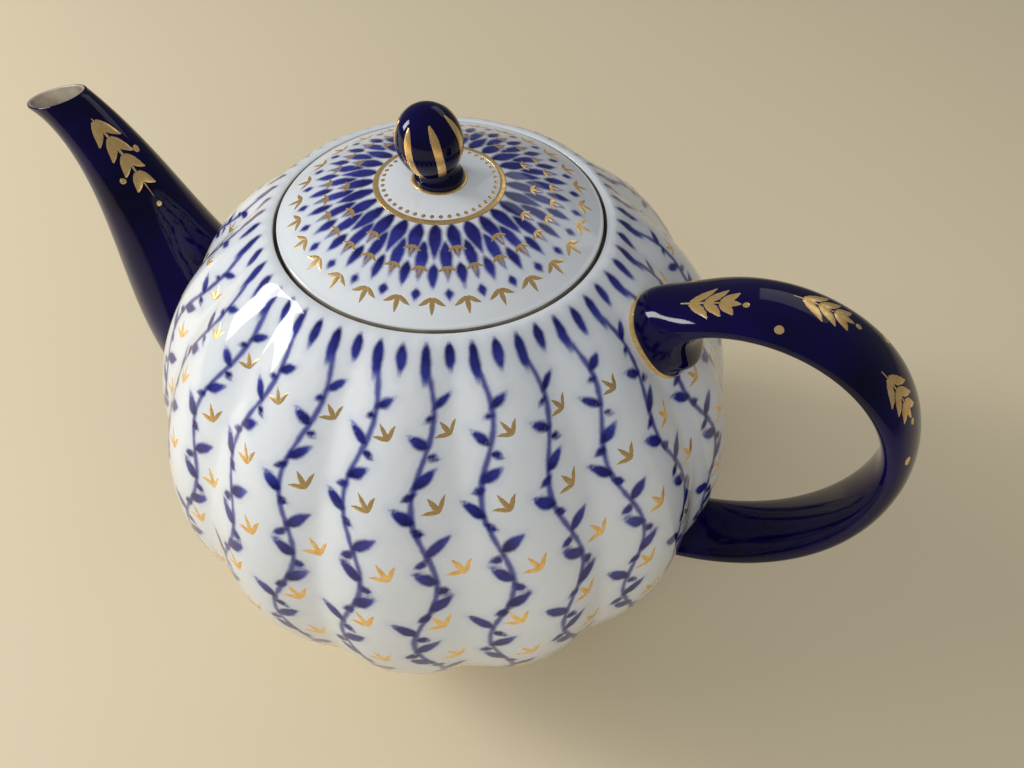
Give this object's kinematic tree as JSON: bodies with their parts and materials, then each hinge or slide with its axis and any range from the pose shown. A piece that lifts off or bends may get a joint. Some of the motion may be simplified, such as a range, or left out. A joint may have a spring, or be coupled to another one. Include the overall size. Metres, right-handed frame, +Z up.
{
  "type": "porcelain teapot",
  "caption": "Lobed porcelain teapot with a curved pouring spout, a strap handle and a lift-off domed lid, in cobalt and gold over white glaze.",
  "frame": {"origin": "on the pot's axis, in the plane of the table that the foot ring stands on", "axes": "+Z up along the pot's axis, +X towards the handle, -X towards the spout"},
  "size_m": [0.2359, 0.1484, 0.149],
  "materials": {
    "white_glaze": "gloss",
    "cobalt_glaze": "gloss",
    "bare_porcelain": "matte",
    "gold_lustre": "gloss"
  },
  "bodies": {
    "pot": {"pot_body": "white_glaze", "rim_gallery": "white_glaze", "foot_ring": "bare_porcelain", "spout": "cobalt_glaze", "handle": "cobalt_glaze"},
    "lid": {"lid": "white_glaze", "lid_flange": "bare_porcelain", "lid_knob": "cobalt_glaze"}
  },
  "joints": [
    {"name": "lid_lift", "type": "slide", "parent": "pot", "child": "lid", "axis": [0, 0, 1], "range_m": [0, 0.08]}
  ]
}
